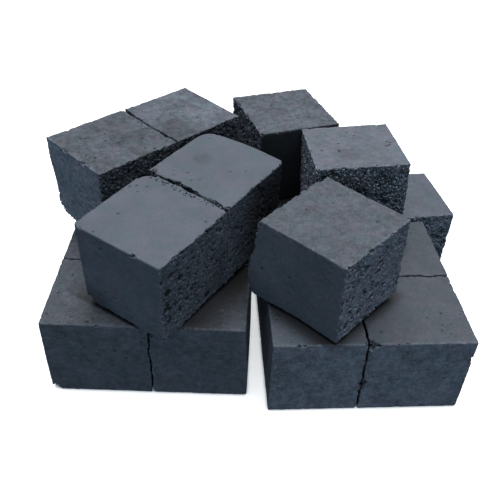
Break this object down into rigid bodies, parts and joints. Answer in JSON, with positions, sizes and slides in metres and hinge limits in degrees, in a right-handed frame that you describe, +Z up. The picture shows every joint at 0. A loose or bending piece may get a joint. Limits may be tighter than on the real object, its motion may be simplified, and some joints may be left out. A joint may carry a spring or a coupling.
{
  "type": "charcoal briquette heap",
  "caption": "Layered heap of pressed charcoal cubes: scored blocks and pairs cracked along their score lines, with loose cubes on top.",
  "frame": {"origin": "on the ground under the middle of the heap's bounding box", "axes": "+Z up; +X to the viewer's right along the heap's long side; +Y away from the viewer, towards the rear block"},
  "size_m": [0.1192, 0.1081, 0.0514],
  "materials": {
    "pressed_charcoal": "semi-matte blue-grey pressed faces with small pits, crumbly where cut or broken",
    "coarse_charcoal": "matte near-black coarse grain with bright specks and open pores"
  },
  "bodies": {
    "left_block_front_left_body": {"left_block_front_left": "pressed_charcoal"},
    "left_block_front_right_body": {"left_block_front_right": "pressed_charcoal"},
    "left_block_rear_left_body": {"left_block_rear_left": "pressed_charcoal"},
    "left_block_rear_right_body": {"left_block_rear_right": "pressed_charcoal"},
    "right_block_front_left_body": {"right_block_front_left": "pressed_charcoal"},
    "right_block_front_right_body": {"right_block_front_right": "pressed_charcoal"},
    "right_block_rear_left_body": {"right_block_rear_left": "pressed_charcoal"},
    "right_block_rear_right_body": {"right_block_rear_right": "pressed_charcoal"},
    "rear_block_front_left_body": {"rear_block_front_left": "pressed_charcoal"},
    "rear_block_front_right_body": {"rear_block_front_right": "pressed_charcoal"},
    "rear_block_rear_left_body": {"rear_block_rear_left": "pressed_charcoal"},
    "rear_block_rear_right_body": {"rear_block_rear_right": "pressed_charcoal"},
    "centre_pair_near_body": {"centre_pair_near": "pressed_charcoal"},
    "centre_pair_far_body": {"centre_pair_far": "pressed_charcoal"},
    "rear_pair_near_body": {"rear_pair_near": "pressed_charcoal"},
    "rear_pair_far_body": {"rear_pair_far": "pressed_charcoal"},
    "turned_cube_body": {"turned_cube": "coarse_charcoal"},
    "back_cube_body": {"back_cube": "coarse_charcoal"},
    "upper_right_cube_body": {"upper_right_cube": "coarse_charcoal"},
    "lower_right_cube_body": {"lower_right_cube": "pressed_charcoal"}
  },
  "joints": [
    {"name": "left_block_rear_seam", "type": "slide", "parent": "left_block_rear_right_body", "child": "left_block_rear_left_body", "axis": [-0.9998, -0.0175, 0], "range_m": [0, 0.008]},
    {"name": "left_block_right_seam", "type": "slide", "parent": "left_block_rear_right_body", "child": "left_block_front_right_body", "axis": [0.0175, -0.9998, 0], "range_m": [0, 0.008]},
    {"name": "left_block_left_seam", "type": "slide", "parent": "left_block_rear_left_body", "child": "left_block_front_left_body", "axis": [0.0175, -0.9998, 0], "range_m": [0, 0.008]},
    {"name": "right_block_pull", "type": "slide", "parent": "left_block_rear_right_body", "child": "right_block_rear_left_body", "axis": [0.0872, -0.9962, 0], "range_m": [0, 0.03]},
    {"name": "right_block_rear_seam", "type": "slide", "parent": "right_block_rear_left_body", "child": "right_block_rear_right_body", "axis": [0.9962, 0.0872, 0], "range_m": [0, 0.008]},
    {"name": "right_block_left_seam", "type": "slide", "parent": "right_block_rear_left_body", "child": "right_block_front_left_body", "axis": [0.0872, -0.9962, 0], "range_m": [0, 0.008]},
    {"name": "right_block_right_seam", "type": "slide", "parent": "right_block_rear_right_body", "child": "right_block_front_right_body", "axis": [0.0872, -0.9962, 0], "range_m": [0, 0.008]},
    {"name": "rear_block_pull", "type": "slide", "parent": "left_block_rear_right_body", "child": "rear_block_front_left_body", "axis": [0.0175, 0.9998, 0], "range_m": [0, 0.03]},
    {"name": "rear_block_front_seam", "type": "slide", "parent": "rear_block_front_left_body", "child": "rear_block_front_right_body", "axis": [0.9998, -0.0175, 0], "range_m": [0, 0.008]},
    {"name": "rear_block_left_seam", "type": "slide", "parent": "rear_block_front_left_body", "child": "rear_block_rear_left_body", "axis": [0.0175, 0.9998, 0], "range_m": [0, 0.008]},
    {"name": "rear_block_right_seam", "type": "slide", "parent": "rear_block_front_right_body", "child": "rear_block_rear_right_body", "axis": [0.0175, 0.9998, 0], "range_m": [0, 0.008]},
    {"name": "lower_right_cube_pull", "type": "slide", "parent": "left_block_rear_right_body", "child": "lower_right_cube_body", "axis": [0.9816, 0.1908, 0], "range_m": [0, 0.03]},
    {"name": "centre_pair_lift", "type": "slide", "parent": "left_block_rear_right_body", "child": "centre_pair_far_body", "axis": [0, 0, 1], "range_m": [0, 0.04]},
    {"name": "centre_pair_seam", "type": "slide", "parent": "centre_pair_far_body", "child": "centre_pair_near_body", "axis": [-0.5299, -0.848, 0], "range_m": [0, 0.008]},
    {"name": "rear_pair_lift", "type": "slide", "parent": "left_block_rear_right_body", "child": "rear_pair_far_body", "axis": [0, 0, 1], "range_m": [0, 0.04]},
    {"name": "rear_pair_seam", "type": "slide", "parent": "rear_pair_far_body", "child": "rear_pair_near_body", "axis": [-0.682, -0.7314, 0], "range_m": [0, 0.008]},
    {"name": "turned_cube_lift", "type": "slide", "parent": "right_block_front_left_body", "child": "turned_cube_body", "axis": [0, 0, 1], "range_m": [0, 0.04]},
    {"name": "back_cube_lift", "type": "slide", "parent": "rear_block_front_left_body", "child": "back_cube_body", "axis": [0, 0, 1], "range_m": [0, 0.04]},
    {"name": "upper_right_cube_lift", "type": "slide", "parent": "right_block_rear_left_body", "child": "upper_right_cube_body", "axis": [0, 0, 1], "range_m": [0, 0.04]}
  ]
}
